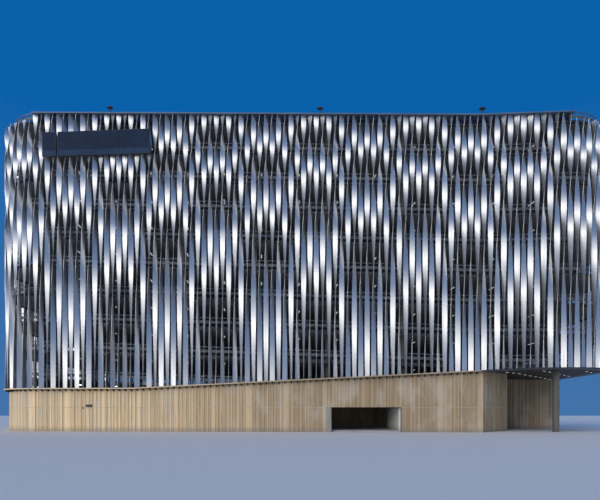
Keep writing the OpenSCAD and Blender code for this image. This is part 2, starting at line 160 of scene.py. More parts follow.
class Shape:
    """Points and faces of one piece, collected part by part."""

    def __init__(self):
        self.points = []
        self.faces = []
        self.paints = []

    def add(self, points, faces, paint=0):
        first = len(self.points)
        self.points.extend(tuple(p) for p in points)
        self.faces.extend([first + i for i in face] for face in faces)
        self.paints.extend(paint if isinstance(paint, list) else [paint] * len(faces))

    def loft(self, rings, closed=False, paint=0):
        """Skins a row of rings that have as many points each. paint may be a list, one for each gap."""
        size, count = len(rings[0]), len(rings)
        gaps = count if closed else count - 1
        paints = paint if isinstance(paint, list) else [paint] * gaps
        faces, face_paints = [], []
        for i in range(gaps):
            a, b = i * size, (i + 1) % count * size
            faces += [[a + j, a + (j + 1) % size, b + (j + 1) % size, b + j] for j in range(size)]
            face_paints += paints[i] if isinstance(paints[i], list) else [paints[i]] * size
        if not closed:
            faces.append(list(reversed(range(size))))
            faces.append([(count - 1) * size + j for j in range(size)])
            face_paints += [0, 0]
        self.add([p for ring in rings for p in ring], faces, face_paints)

    def prism(self, corners, low, high, paint=0):
        self.loft([[(x, y, z) for x, y in corners] for z in (low, high)], paint=paint)

    def box(self, low, high, paint=0):
        self.prism(rectangle(low[0], high[0], low[1], high[1]), low[2], high[2], paint)

    def bar(self, start, end, width, height, paint=0):
        """A straight bar of rectangular section between two points, upright in its height."""
        direction = (Vector(end) - Vector(start)).normalized()
        side = direction.cross(Vector((0, 0, 1)))
        side.normalize()
        up = side.cross(direction)
        section = rectangle(-width / 2, width / 2, -height / 2, height / 2)
        self.loft([[Vector(p) + side * a + up * b for a, b in section] for p in (start, end)], paint=paint)

    def turned(self, centre, radii_and_heights, sides=16, paint=0):
        """A round body, given by its radius at each height."""
        turns = [2 * math.pi * i / sides for i in range(sides)]
        rings = [[(centre[0] + r * math.cos(a), centre[1] + r * math.sin(a), z) for a in turns]
                 for r, z in radii_and_heights]
        self.loft(rings, paint=paint)

    def piece(self, name, finishes, slot, replaced=(), smooth_angle=SMOOTH_ANGLE):
        """Makes the object, which rides on the building."""
        mesh = bpy.data.meshes.new(name)
        mesh.from_pydata(self.points, [], self.faces)
        work = bmesh.new()
        work.from_mesh(mesh)
        bmesh.ops.recalc_face_normals(work, faces=work.faces)
        work.to_mesh(mesh)
        work.free()
        mesh.polygons.foreach_set("material_index", self.paints)
        mesh.shade_smooth()
        mesh.set_sharp_from_angle(angle=math.radians(smooth_angle))
        for finish in finishes:
            mesh.materials.append(finish)
        obj = added(name, mesh)
        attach(obj, BODY)
        if replaced:
            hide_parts(*replaced)


# Paths round the building, counter-clockwise seen from above

CORNERS = {
    "front_right": ((HALF_X, -HALF_Y), -90),
    "back_right": ((HALF_X, HALF_Y), 0),
    "back_left": ((-HALF_X, HALF_Y), 90),
    "front_left": ((-HALF_X, -HALF_Y), 180),
}
SPACES = {"front": FRONT_SPACES, "right": END_SPACES, "back": FRONT_SPACES, "left": END_SPACES}
AROUND = ("front", "front_right", "right", "back_right", "back", "back_left", "left", "front_left")
LEFT_END_ONLY = ("back", "back_left", "left", "front_left", "front")
ARC_STEPS = 16
SAME_PLACE = 1e-4


def between(a, b, share):
    return [p + (q - p) * share for p, q in zip(a, b)]


def corner_place(corner, share, inset=0.0):
    """Point and outward angle on a round corner, a share of a quarter turn from its start."""
    centre, start = CORNERS[corner]
    angle = math.radians(start + 90 * share)
    radius = CORNER_R - inset
    return centre[0] + radius * math.cos(angle), centre[1] + radius * math.sin(angle), angle


def stretch(side, inset, x_end=None):
    """Points with outward directions along one side or corner. x_end cuts off its right part."""
    x, y = LINE_X - inset, LINE_Y - inset
    if side in ("front", "back"):
        bends = [b for b in BENDS if x_end is None or b < x_end] + ([] if x_end is None else [x_end])
        out = -1 if side == "front" else 1
        return [(b, out * y, 0, out) for b in (bends if side == "front" else reversed(bends))]
    if side == "right":
        return [(x, -HALF_Y, 1, 0), (x, HALF_Y, 1, 0)]
    if side == "left":
        return [(-x, HALF_Y, -1, 0), (-x, -HALF_Y, -1, 0)]
    points = []
    for i in range(ARC_STEPS + 1):
        px, py, angle = corner_place(side, i / ARC_STEPS, inset)
        points.append((px, py, math.cos(angle), math.sin(angle)))
    return points


def route(inset, sides=AROUND, x_end=None):
    """Several stretches joined end to end, without repeated points."""
    points = []
    for side in sides:
        for p in stretch(side, inset, x_end):
            if not points or math.dist(p[:2], points[-1][:2]) > SAME_PLACE:
                points.append(p)
    if math.dist(points[0][:2], points[-1][:2]) < SAME_PLACE:
        points.pop()
    return points


def fin_places():
    """Stretch, number from the front's middle, point, outward angle and lowering of each fin."""
    n = -FRONT_SPACES // 2
    for side in AROUND:
        count = SPACES.get(side, CORNER_SPACES)
        first, *_, last = stretch(side, 0)
        for i in range(count):
            share = (i + 0.5) / count
            if side in CORNERS:
                yield side, n, *corner_place(side, share), CORNER_DROP
            else:
                x, y, nx, ny = between(first, last, share)
                yield side, n, x, y, math.atan2(ny, nx), 0.0
            n += 1


FIN_PLACES = list(fin_places())


def sweep(shape, path, section, height, closed=False, paint=0):
    """Runs a section of (outward, up) points along a path, at a height that depends on the place."""
    rings = [[(x + out * nx, y + out * ny, height(x) + up) for out, up in section] for x, y, nx, ny in path]
    shape.loft(rings, closed=closed, paint=paint)


def spaced(path, gap):
    """Places at even distances along a path, half a gap in from its ends."""
    lengths = [math.dist(a[:2], b[:2]) for a, b in zip(path, path[1:])]
    count = max(1, round(sum(lengths) / gap))
    for k in range(count):
        left = sum(lengths) * (k + 0.5) / count
        for (a, b), length in zip(zip(path, path[1:]), lengths):
            if left <= length:
                yield between(a, b, left / length)
                break
            left -= length


# Materials

PATTERN_EDGES = (0.3, 0.7)
MIX_A, MIX_B, MIX_RESULT = 6, 7, 2      # the colour sockets of a Mix node


def toned(color, tone):
    return tuple(c * tone for c in color)


class Nodes:
    """A node tree that is built up in calls."""

    def __init__(self, tree):
        self.tree = tree

    def fill(self, made, entries):
        """Gives a node's inputs numbers, colours or other nodes' outputs."""
        for name, value in entries.items():
            entry = made.inputs[name]
            if isinstance(value, bpy.types.NodeSocket):
                self.tree.links.new(value, entry)
            else:
                entry.default_value = (*value, 1) if entry.type == "RGBA" else value

    def node(self, kind, entries={}, **settings):
        made = self.tree.nodes.new(kind)
        for name, value in settings.items():
            setattr(made, name, value)
        self.fill(made, entries)
        return made


class Finish(Nodes):
    """A node material around one Principled shader, drawn in the building's own coordinates."""

    def __init__(self, name, color, roughness, metallic=0.0):
        self.material = bpy.data.materials.new(name)
        self.material.use_nodes = True
        self.material.diffuse_color = (*color, 1)
        super().__init__(self.material.node_tree)
        self.shader = self.tree.nodes["Principled BSDF"]
        self.fill(self.shader, {"Base Color": color, "Roughness": roughness, "Metallic": metallic})
        self.place = self.node("ShaderNodeTexCoord").outputs["Object"]

    def noise(self, scale, detail=4.0, stretch_by=(1, 1, 1), roughness=0.55):
        """Noise in coordinates that are scaled differently along X, Y and Z."""
        place = self.node("ShaderNodeMapping", {"Vector": self.place, "Scale": stretch_by}).outputs["Vector"]
        entries = {"Vector": place, "Scale": scale, "Detail": detail, "Roughness": roughness}
        return self.node("ShaderNodeTexNoise", entries).outputs["Fac"]

    def part(self, name, vector=None):
        """One component of the place in the building, or of another vector."""
        return self.node("ShaderNodeSeparateXYZ", {"Vector": vector or self.place}).outputs[name]

    def span(self, value, low, high, out_low=0.0, out_high=1.0):
        """Maps a value's range to another, smoothly and clamped."""
        entries = {"Value": value, "From Min": low, "From Max": high, "To Min": out_low, "To Max": out_high}
        return self.node("ShaderNodeMapRange", entries, interpolation_type="SMOOTHSTEP").outputs["Result"]

    def blend(self, first, second, share):
        """Mixes two colours, each a triple or an output, by an output's share."""
        made = self.node("ShaderNodeMix", {"Factor": share, MIX_A: first, MIX_B: second}, data_type="RGBA")
        return made.outputs[MIX_RESULT]

    def color(self, output):
        self.fill(self.shader, {"Base Color": output})

    def roughness(self, pattern, low, high, edges=PATTERN_EDGES):
        """Lets the roughness follow a pattern between two values."""
        self.fill(self.shader, {"Roughness": self.span(pattern, *edges, low, high)})

    def bump(self, height, strength, distance):
        made = self.node("ShaderNodeBump", {"Height": height, "Strength": strength, "Distance": distance})
        self.fill(self.shader, {"Normal": made.outputs["Normal"]})


def fin_finish():
    """Satin anodised aluminium with faint draw lines and a little weathering."""
    f = Finish("anodised_aluminium", (0.73, 0.735, 0.745), 0.55, 0.90)
    sheets = f.noise(0.9, 2.0, (1, 1, 0.05))
    streaks = f.noise(14.0, 5.0, (1, 1, 0.06))
    clean = f.blend((0.690, 0.688, 0.675), (0.750, 0.742, 0.722), f.span(sheets, 0.35, 0.65))
    f.color(f.blend(clean, (0.52, 0.54, 0.56), f.span(streaks, 0.52, 0.80, 0.0, 0.45)))
    f.roughness(streaks, 0.46, 0.54)
    f.bump(f.noise(60.0, 3.0, (1, 1, 0.03)), 0.08, 0.002)
    return f.material


def plinth_finish(name, tone):
    """Buff precast concrete with painted shade: warm buff at the left end of the front, darkening to a dim
    grey-brown towards the right, where shade falls.
    """
    f = Finish(name, toned((0.58, 0.48, 0.34), tone), 0.88)
    # Painted shade: the colour darkens from the left end of the front to the right, and stays dark on the
    # open corner's walls.
    share = f.span(f.part("X"), -12.0, 4.0)
    base = f.blend(toned((0.865, 0.630, 0.350), tone), toned((0.455, 0.328, 0.186), tone), share)
    streaks = f.noise(9.0, 6.0, (1, 1, 0.06), 0.65)
    darker = f.blend(base, (0.27, 0.23, 0.18), f.span(streaks, 0.48, 0.78, 0.0, 0.65))
    panels = f.noise(1.3, 3.0, (1, 1, 0.5))
    varied = f.blend(darker, (0.72, 0.64, 0.50), f.span(panels, 0.45, 0.70, 0.0, 0.40))
    grain = f.noise(120.0, 4.0)
    speckled = f.blend(varied, (0.30, 0.27, 0.23), f.span(grain, 0.55, 0.80, 0.0, 0.5))
    splash = f.span(f.part("Z"), 0.0, 0.35, 0.55, 0.0)
    f.color(f.blend(speckled, (0.24, 0.22, 0.19), splash))
    f.roughness(grain, 0.80, 0.95)
    f.bump(grain, 0.5, 0.004)
    return f.material


def concrete_finish():
    """Grey concrete: worn and stained on top, with painted shade underneath, where faces that look downwards
    are darker.
    """
    f = Finish("deck_concrete", (0.42, 0.41, 0.39), 0.85)
    clouds = f.noise(0.7, 5.0, roughness=0.6)
    grain = f.noise(45.0, 4.0)
    top = f.blend((0.47, 0.46, 0.44), (0.37, 0.36, 0.345), f.span(clouds, 0.35, 0.68))
    # Painted shade: faces that look downwards get a darker colour.
    normal = f.node("ShaderNodeNewGeometry").outputs["True Normal"]
    painted_shade_below = f.blend(top, (0.27, 0.265, 0.255), f.span(f.part("Z", normal), -0.9, -0.3, 0.85, 0.0))
    f.color(f.blend(painted_shade_below, (0.22, 0.21, 0.20), f.span(grain, 0.55, 0.8, 0.0, 0.5)))
    f.roughness(clouds, 0.72, 0.92)
    f.bump(grain, 0.35, 0.003)
    return f.material


def steel_finish():
    """Galvanised steel with its spangle."""
    f = Finish("galvanised_steel", (0.19, 0.20, 0.21), 0.60, 0.45)
    cells = f.node("ShaderNodeTexVoronoi", {"Vector": f.place, "Scale": 70.0})
    spangle = f.node("ShaderNodeSeparateColor", {"Color": cells.outputs["Color"]}).outputs["Red"]
    f.color(f.blend((0.15, 0.16, 0.17), (0.24, 0.25, 0.26), spangle))
    f.roughness(spangle, 0.52, 0.68, (0.0, 1.0))
    f.bump(f.noise(30.0, 3.0), 0.1, 0.002)
    return f.material


def panel_finish(name, tone):
    """Slate grey painted sign panels, satin and a little faded."""
    f = Finish(name, toned((0.018, 0.030, 0.050), tone), 0.55)
    f.fill(f.shader, {"Specular IOR Level": 0.08})
    fade = f.noise(1.6, 3.0)
    runs = f.noise(12.0, 4.0, (1, 1, 0.08))
    dark, pale = toned((0.013, 0.026, 0.050), tone), toned((0.021, 0.037, 0.066), tone)
    painted = f.blend(dark, pale, f.span(fade, 0.35, 0.65))
    f.color(f.blend(painted, (0.050, 0.066, 0.085), f.span(runs, 0.58, 0.85, 0.0, 0.35)))
    f.roughness(fade, 0.50, 0.64)
    f.bump(f.noise(150.0, 2.0), 0.05, 0.0005)
    return f.material


def render_finish():
    """Pale smooth render on the pier beside the entrance and the wall behind it."""
    f = Finish("pale_pier", (0.66, 0.64, 0.57), 0.8)
    stains = f.noise(3.0, 5.0, (1, 1, 0.4))
    dirt = f.span(f.part("Z"), 0.0, 0.4, 0.6, 0.0)
    clean = f.blend((0.80, 0.78, 0.71), (0.64, 0.62, 0.56), f.span(stains, 0.42, 0.75))
    f.color(f.blend(clean, (0.28, 0.26, 0.23), dirt))
    f.roughness(stains, 0.72, 0.9)
    f.bump(f.noise(60.0, 3.0), 0.15, 0.002)
    return f.material


def weathered_finish(name, tone):
    """Plain weathered concrete of the pier at the entrance and the outer columns; the columns' darker tone
    is painted shade.
    """
    f = Finish(name, toned((0.33, 0.31, 0.26), tone), 0.85)
    stains = f.noise(4.0, 5.0, (1, 1, 0.3))
    grain = f.noise(110.0, 3.0)
    pale, dark = toned((0.37, 0.345, 0.29), tone), toned((0.25, 0.235, 0.20), tone)
    clean = f.blend(pale, dark, f.span(stains, 0.4, 0.72))
    f.color(f.blend(clean, (0.14, 0.13, 0.11), f.span(grain, 0.58, 0.82, 0.0, 0.5)))
    f.roughness(stains, 0.78, 0.92)
    f.bump(grain, 0.4, 0.003)
    return f.material


def mottled_finish(name, color, metallic, noise, tones, edges, rough, bump_noise=(), bump=()):
    """Two tones in a pattern, which the roughness (usual, lowest, highest) follows, and the bump (strength,
    distance) too if it has no noise of its own."""
    f = Finish(name, color, rough[0], metallic)
    pattern = f.noise(*noise)
    f.color(f.blend(*tones, f.span(pattern, *edges)))
    f.roughness(pattern, *rough[1:])
    if bump:
        f.bump(f.noise(*bump_noise) if bump_noise else pattern, *bump)
    return f.material


def diffuser_finish(name, strength):
    """Milky plastic cover of a lamp that is lit."""
    f = Finish(name, (0.90, 0.91, 0.90), 0.35)
    f.color(f.blend((0.86, 0.87, 0.86), (0.93, 0.94, 0.93), f.noise(25.0, 2.0)))
    f.fill(f.shader, {"Emission Color": (0.95, 0.97, 1.0), "Emission Strength": strength})
    return f.material


def lens_finish(name, tone):
    """Frosted glass of a lamp that isn't lit."""
    f = Finish(name, toned((0.55, 0.57, 0.60), tone), 0.25)
    frost = f.noise(60.0, 3.0)
    f.color(f.blend(toned((0.50, 0.52, 0.55), tone), toned((0.62, 0.64, 0.66), tone), frost))
    f.roughness(frost, 0.18, 0.32)
    return f.material


FIN = fin_finish()
# Copies of the plinth concrete: plain, a lighter one as painted light on the rib crests, and a darker one as
# painted shade on groove sides, groove floors and joint sides.
PLINTH_TONES = [
    plinth_finish("precast_plinth", 1.0),
    plinth_finish("precast_plinth_painted_light", 1.30),
    plinth_finish("precast_plinth_painted_shade", 0.88),
]
CONCRETE = concrete_finish()
STEEL = steel_finish()
PANEL = panel_finish("dark_panel", 1.0)
PALE_PANEL = panel_finish("paler_panel", 1.7)
PIER = weathered_finish("pier_concrete", 1.0)
# Painted shade: a darker tone of the pier's concrete for the outer columns, which stand in shade under the
# decks.
COLUMN_PAINTED_SHADE = weathered_finish("column_concrete_painted_shade", 0.45)
RENDER = render_finish()
SEALANT = mottled_finish(
    "joint_sealant", (0.60, 0.51, 0.38), 0.0, (8.0, 4.0), ((0.66, 0.56, 0.42), (0.46, 0.39, 0.29)),
    (0.4, 0.75), (0.7, 0.6, 0.8))
DARK_STEEL = mottled_finish(
    "dark_painted_steel", (0.035, 0.038, 0.042), 0.0, (6.0, 5.0),
    ((0.025, 0.028, 0.032), (0.07, 0.07, 0.068)), (0.45, 0.75), (0.5, 0.42, 0.62),
    (90.0, 2.0), (0.08, 0.001))
# Painted shade and painted sky reflection: the cap plates' zinc is dark and blue-tinted like their shaded
# underside that mirrors the blue sky.
CAPPING_PAINTED_SHADE_AND_SKY = mottled_finish(
    "zinc_painted_shade_and_sky", (0.120, 0.165, 0.225), 0.30, (2.5, 5.0, (0.4, 1, 1)),
    ((0.100, 0.145, 0.205), (0.155, 0.205, 0.270)), (0.4, 0.7), (0.55, 0.48, 0.66),
    (70.0, 2.0), (0.06, 0.001))
SOFFIT = mottled_finish(
    "dark_soffit", (0.055, 0.050, 0.046), 0.0, (1.2, 4.0), ((0.030, 0.023, 0.017), (0.065, 0.050, 0.036)),
    (0.35, 0.7), (0.6, 0.5, 0.7), (80.0, 2.0), (0.06, 0.001))
ROAD_PAINT = mottled_finish(
    "road_paint", (0.74, 0.74, 0.71), 0.0, (7.0, 6.0, (1, 1, 1), 0.7),
    ((0.78, 0.78, 0.75), (0.42, 0.41, 0.39)), (0.48, 0.66), (0.7, 0.6, 0.85), (), (0.2, 0.001))
DIFFUSER = diffuser_finish("lamp_diffuser", 0.45)
BRIGHT_DIFFUSER = diffuser_finish("bright_lamp_diffuser", 6.0)
GLASS = lens_finish("lamp_lens", 1.0)
SMOKED = lens_finish("smoked_lens", 0.30)


# Fins

PAIR_H = 2 * STOREY_H
FIN_SECTION = [
    (-FIN_HALF_W, -FIN_EDGE), (0, -FIN_FOLD), (FIN_HALF_W, -FIN_EDGE),
    (FIN_HALF_W, FIN_EDGE), (0, FIN_FOLD), (-FIN_HALF_W, FIN_EDGE),
]


def turns_above(pair):
    """Half turns that a fin has made above a pair of storeys, counted from the roof down."""
    return TOP_TURNING * (1 - TURNING_SHARE ** pair) / (1 - TURNING_SHARE)


def turns_at(depth):
    pair = math.floor(depth / PAIR_H)
    return turns_above(pair) + TOP_TURNING * TURNING_SHARE ** pair * (depth / PAIR_H - pair)


def depth_of(turns):
    """The same rule the other way round."""
    pair = math.floor(math.log(1 - turns * (1 - TURNING_SHARE) / TOP_TURNING, TURNING_SHARE))
    return PAIR_H * (pair + (turns - turns_above(pair)) / (TOP_TURNING * TURNING_SHARE ** pair))


def fin_phase(n):
    wave = PHASE_SWING * math.cos(2 * math.pi * (n - WAVE_CENTRE) / WAVE_FINS)
    return FIRST_PHASE + 0.5 + wave if n % 2 == 0 else FIRST_PHASE - wave


def fin(shape, n, x, y, angle, drop):
    """One folded strip that twists downwards, slower from each pair of storeys to the next."""
    top = FIN_TOP_H + ramp_h(x)
    first, last = turns_at(drop), turns_at(top - foot_h(x))
    rings = []
    for i in range(FIN_RINGS + 1):
        turns = first + (last - first) * i / FIN_RINGS
        turned = angle + math.pi / 2 - math.pi * (turns - fin_phase(n))
        c, s = math.cos(turned), math.sin(turned)
        ring = []
        for u, v in FIN_SECTION:
            px, py = x + u * c - v * s, y + u * s + v * c
            if i == 0:
                pz = FIN_TOP_H + ramp_h(px) - drop
            else:
                pz = foot_h(px) if i == FIN_RINGS else top - depth_of(turns)
            ring.append((px, py, pz))
        rings.append(ring)
    shape.loft(rings)


def fins():
    for side in AROUND:
        node = side + ("_corner_fins" if side in CORNERS else "_fins")
        shape = Shape()
        for stretch_name, *place in FIN_PLACES:
            if stretch_name == side:
                fin(shape, *place)
        shape.piece("twisted_" + node, [FIN], FIN_SLOT, [node], smooth_angle=FOLD_ANGLE)


# Rails that hold the fins, a little below each deck's top

RAIL_INSET, RAIL_D = 0.135, 0.050
RAIL_LOW, RAIL_HIGH = -0.185, -0.115
CLIP_FROM, CLIP_W, CLIP_H, CLIP_GRIP = 0.010, 0.020, 0.050, 0.005
BRACKET_TO, BRACKET_W, BRACKET_H, BRACKET_GAP = 0.275, 0.040, 0.090, 2
LOWEST_RAIL_X = -7.9


def outward_box(shape, place, out_low, out_high, half_w, z_low, z_high):
    """A box that stands square to a path, at a place (x, y, outward x, outward y) on it."""
    x, y, nx, ny = place
    corners = [(x + out * nx - side * ny, y + out * ny + side * nx)
               for out, side in rectangle(out_low, out_high, -half_w, half_w)]
    shape.prism(corners, z_low, z_high)


def deck_routes(inset):
    """The edge of each deck above the plinth: level, path and whether it closes."""
    yield 1, route(inset, LEFT_END_ONLY, LOWEST_RAIL_X), False
    for level in range(2, DECK_COUNT + 1):
        yield level, route(inset), True


def fin_holders():
    rails, clips = Shape(), Shape()
    for level, path, closed in deck_routes(RAIL_INSET):
        sweep(rails, path, rectangle(-RAIL_D, 0, RAIL_LOW, RAIL_HIGH), deck_top(level), closed)
        middle = (RAIL_LOW + RAIL_HIGH) / 2
        for _, n, x, y, angle, _ in FIN_PLACES:
            if level == 1 and x > LOWEST_RAIL_X:
                continue
            place = (x, y, math.cos(angle), math.sin(angle))
            z = deck_top(level)(x) + middle
            outward_box(clips, place, -RAIL_INSET - CLIP_GRIP, -CLIP_FROM, CLIP_W / 2,
                        z - CLIP_H / 2, z + CLIP_H / 2)
            if n % BRACKET_GAP == 0:
                outward_box(rails, place, -BRACKET_TO, -RAIL_INSET - RAIL_D / 2, BRACKET_W / 2,
                            z - BRACKET_H / 2, z + BRACKET_H / 2)
    rails.piece("fin_rails", [DARK_STEEL], DARK_SLOT)
    clips.piece("fin_clips", [STEEL], STEEL_SLOT)


# Dark channels along the deck edges

CHANNEL_D, CHANNEL_T = 0.030, 0.012


def deck_channels():
    section = [
        (0, -DECK_T), (CHANNEL_D, -DECK_T), (CHANNEL_D, CHANNEL_T - DECK_T), (CHANNEL_T, CHANNEL_T - DECK_T),
        (CHANNEL_T, -CHANNEL_T), (CHANNEL_D, -CHANNEL_T), (CHANNEL_D, 0), (0, 0),
    ]
    shape = Shape()
    for level, path, closed in deck_routes(DECK_INSET):
        sweep(shape, path, section, deck_top(level), closed)
    shape.piece("deck_edge_channels", [DARK_STEEL], DARK_SLOT)


# Crash barriers

BARRIER_INSET = DECK_INSET + 0.035      # the beam's outer face
BEAM_LOW, BEAM_H, BEAM_T = 0.150, 0.150, 0.006
BEAM_FACE = [(-0.024, 0.0), (-0.004, 0.13), (0.0, 0.30), (-0.020, 0.44), (-0.020, 0.56), (0.0, 0.70),
             (-0.004, 0.87), (-0.024, 1.0)]
TOP_RAIL_LOW, TOP_RAIL_HIGH, TOP_RAIL_D = 0.425, 0.460, 0.035
POST_GAP, POST_W, POST_D = 4 * FIN_PITCH, 0.030, 0.028
POST_BEHIND, POST_SHORT = 0.020, 0.005
POST_PLATE_W, POST_PLATE_D, POST_PLATE_T, PLATE_SUNK = 0.090, 0.070, 0.010, 0.003


def barrier(shape, path, height):
    face = [(out, BEAM_LOW + up * BEAM_H) for out, up in BEAM_FACE]
    sweep(shape, path, face + [(out - BEAM_T, up) for out, up in reversed(face)], height)
    sweep(shape, path, rectangle(-TOP_RAIL_D, 0, TOP_RAIL_LOW, TOP_RAIL_HIGH), height)
    post_out = -BEAM_T - POST_BEHIND
    for place in spaced(path, POST_GAP):
        floor = height(place[0])
        outward_box(shape, place, post_out - POST_D, post_out, POST_W / 2,
                    floor, floor + TOP_RAIL_HIGH - POST_SHORT)
        middle = post_out - POST_D / 2
        outward_box(shape, place, middle - POST_PLATE_D / 2, middle + POST_PLATE_D / 2, POST_PLATE_W / 2,
                    floor - PLATE_SUNK, floor + POST_PLATE_T)


def barriers():
    for side, lowest in (("front", 1), ("back", 1), ("left", 1), ("right", 2)):
        shape = Shape()
        for level in range(lowest, DECK_COUNT):
            x_end = PIER_LEFT_X if (side, level) == ("front", 1) else None
            barrier(shape, stretch(side, BARRIER_INSET, x_end), deck_top(level))
        shape.piece(side + "_crash_barriers", [STEEL], STEEL_SLOT, [side + "_barriers"])
    shape = Shape()
    for corner in CORNERS:
        for level in range(1 if "left" in corner else 2, DECK_COUNT + 1):
            barrier(shape, stretch(corner, BARRIER_INSET), deck_top(level))
    shape.piece("corner_crash_barriers", [STEEL], STEEL_SLOT, ["corner_barriers"])


# Plinth of ribbed precast concrete, in panels with joints

PANEL_W = 6 * FIN_PITCH
JOINT_W, JOINT_D, JOINT_LIP = 0.010, 0.012, 0.002
BED_JOINT_HIGH = 1.240
BED_JOINT_LOW = BED_JOINT_HIGH - 0.022
CREST_W, GROOVE_W, GROOVE_D = (0.040, 0.085), (0.080, 0.190), (0.010, 0.026)
GROOVE_SLOPE = 0.007
# Paints of the plinth's faces: plain, painted light on crests, painted shade in grooves and joints, and
# sealant.
PLAIN, PAINTED_LIGHT, PAINTED_SHADE, SEALED = range(4)


def rib_stations(length, dice):
    """Distances along a wall, the depth of its face there, and the paint up to the next one: painted light
    on the crests, painted shade in the grooves and on the joints' sides.
    """
    stations = []
    panels = max(1, round(length / PANEL_W))
    s = 0.0
    for panel in range(panels):
        end = length * (panel + 1) / panels - JOINT_W / 2
        while s < end - GROOVE_W[1] - 2 * CREST_W[0]:
            stations.append((s, 0.0, dice.choice((PLAIN, PAINTED_LIGHT, PAINTED_LIGHT))))
            s += dice.uniform(*CREST_W)
            width, depth = dice.uniform(*GROOVE_W), dice.uniform(*GROOVE_D)
            stations += [
                (s, 0.0, PAINTED_SHADE),
                (s + GROOVE_SLOPE, depth, dice.choice((PLAIN, PAINTED_SHADE, PAINTED_SHADE))),
                (s + width - GROOVE_SLOPE, depth, PAINTED_SHADE),
            ]
            s += width
        stations.append((s, 0.0, PAINTED_LIGHT))
        if panel < panels - 1:
            stations += [
                (end, 0.0, PAINTED_SHADE),
                (end + JOINT_LIP, JOINT_D, SEALED),
                (end + JOINT_W - JOINT_LIP, JOINT_D, PAINTED_SHADE),
            ]
            s = end + JOINT_W
    return stations + [(length, 0.0, PLAIN)]


def wall_ring(outer, inner, normal, depth, low, high):
    """Upright section of the plinth at one station, with the bed joint if the wall reaches below it."""
    cuts = [(low, depth)]
    if low < BED_JOINT_LOW:
        bed = max(depth, JOINT_D)
        cuts += [(BED_JOINT_LOW, depth), (BED_JOINT_LOW + JOINT_LIP, bed),
                 (BED_JOINT_HIGH - JOINT_LIP, bed), (BED_JOINT_HIGH, depth)]
    cuts.append((high, depth))
    face = [(outer[0] - cut * normal[0], outer[1] - cut * normal[1], z) for z, cut in cuts]
    return face + [(*inner, high), (*inner, low)]


def wall_paints(stations, low):
    """Paints for the faces of a wall: the ribs' painted light and shade on its face, painted shade on the
    bed joint's sides and sealant in it, plain elsewhere.
    """
    jointed = low < BED_JOINT_LOW
    return [[tone, *([PAINTED_SHADE, SEALED, PAINTED_SHADE, tone] if jointed else []), PLAIN, PLAIN, PLAIN]
            for _, _, tone in stations[:-1]]


def mitred(corner, normal, other):
    """Inner corner of two walls that meet, from their outward directions."""
    share = WALL_T / (1 + normal[0] * other[0] + normal[1] * other[1])
    return corner[0] - share * (normal[0] + other[0]), corner[1] - share * (normal[1] + other[1])


def facing(start, end):
    length = math.dist(start, end)
    return (end[1] - start[1]) / length, (start[0] - end[0]) / length


def ribbed_wall(shape, name, length, place_at, low=0.0):
    """A wall whose outer point, inner point and outward direction depend on the share of its length."""
    stations = rib_stations(length, random.Random(name))
    rings = []
    for s, depth, _ in stations:
        outer, inner, normal = place_at(s / length)
        rings.append(wall_ring(outer, inner, normal, depth, low, plinth_top(outer[0])))
    shape.loft(rings, paint=wall_paints(stations, low))


def plinth_wall(node, start, end, before=None, after=None, low=0.0):
    """A straight wall, seen from outside from left to right, mitred to the walls before and after."""
    normal = facing(start, end)
    inner_start = mitred(start, normal, before or normal)
    inner_end = mitred(end, normal, after or normal)
    shape = Shape()
    ribbed_wall(shape, node, math.dist(start, end), lambda share: (
        between(start, end, share), between(inner_start, inner_end, share), normal), low)
    shape.piece("ribbed_" + node, [*PLINTH_TONES, SEALANT], PLINTH_SLOT, [node])


def plinth_corner(shape, corner):
    def place_at(share):
        x, y, angle = corner_place(corner, share, FACE_INSET)
        return (x, y), corner_place(corner, share, DECK_INSET)[:2], (math.cos(angle), math.sin(angle))

    ribbed_wall(shape, corner, (CORNER_R - FACE_INSET) * math.pi / 2, place_at)


def plinth():
    front, slant, right = (0, -1), facing(SPLAY_START, SPLAY_END), (1, 0)
    plinth_wall("plinth_front_left", (-HALF_X, -FACE_Y), (PIER_LEFT_X, -FACE_Y))
    plinth_wall("entrance_lintel", (PIER_LEFT_X, -FACE_Y), (ENTRANCE_RIGHT_X, -FACE_Y), low=ENTRANCE_H)
    plinth_wall("plinth_front_right", (ENTRANCE_RIGHT_X, -FACE_Y), SPLAY_START, after=slant)
    plinth_wall("plinth_slanting_wall", SPLAY_START, SPLAY_END, before=front, after=right)
    plinth_wall("open_corner_side_wall", SPLAY_END, (SPLAY_END[0], OPEN_BACK_Y + WALL_T), before=slant)
    plinth_wall("open_corner_rear_wall", (SPLAY_END[0], OPEN_BACK_Y), (DECK_X, OPEN_BACK_Y))
    plinth_wall("plinth_right_wall", (FACE_X, OPEN_BACK_Y), (FACE_X, HALF_Y))
    plinth_wall("plinth_back_wall", (HALF_X, FACE_Y), (-HALF_X, FACE_Y))
    plinth_wall("plinth_left_wall", (-FACE_X, HALF_Y), (-FACE_X, -HALF_Y))
    shape = Shape()
    for corner in ("back_right", "back_left", "front_left"):
        plinth_corner(shape, corner)
    shape.piece("ribbed_plinth_corners", [*PLINTH_TONES, SEALANT], PLINTH_SLOT, ["plinth_corners"])


# Plates under the fins, with a trim along their edge: precast over the plinth, dark over the open corner as
# painted shade

LEDGE_IN = FACE_INSET + WALL_T * 3 / 4
TRIM_T = 0.006
GUSSET_OUT, GUSSET_W, GUSSET_H, GUSSET_EDGE = 0.120, 0.045, 0.110, 0.025
GUSSET_ROOT, GUSSET_TOE, GUSSET_GRIP = -FACE_INSET - 0.030, -FACE_INSET + 0.010, 0.002


def over_plinth(x, y):
    """Whether a fin at a point stands above the plinth's wall, and not over the open corner."""
    return x <= SPLAY_START[0] or y >= OPEN_BACK_Y


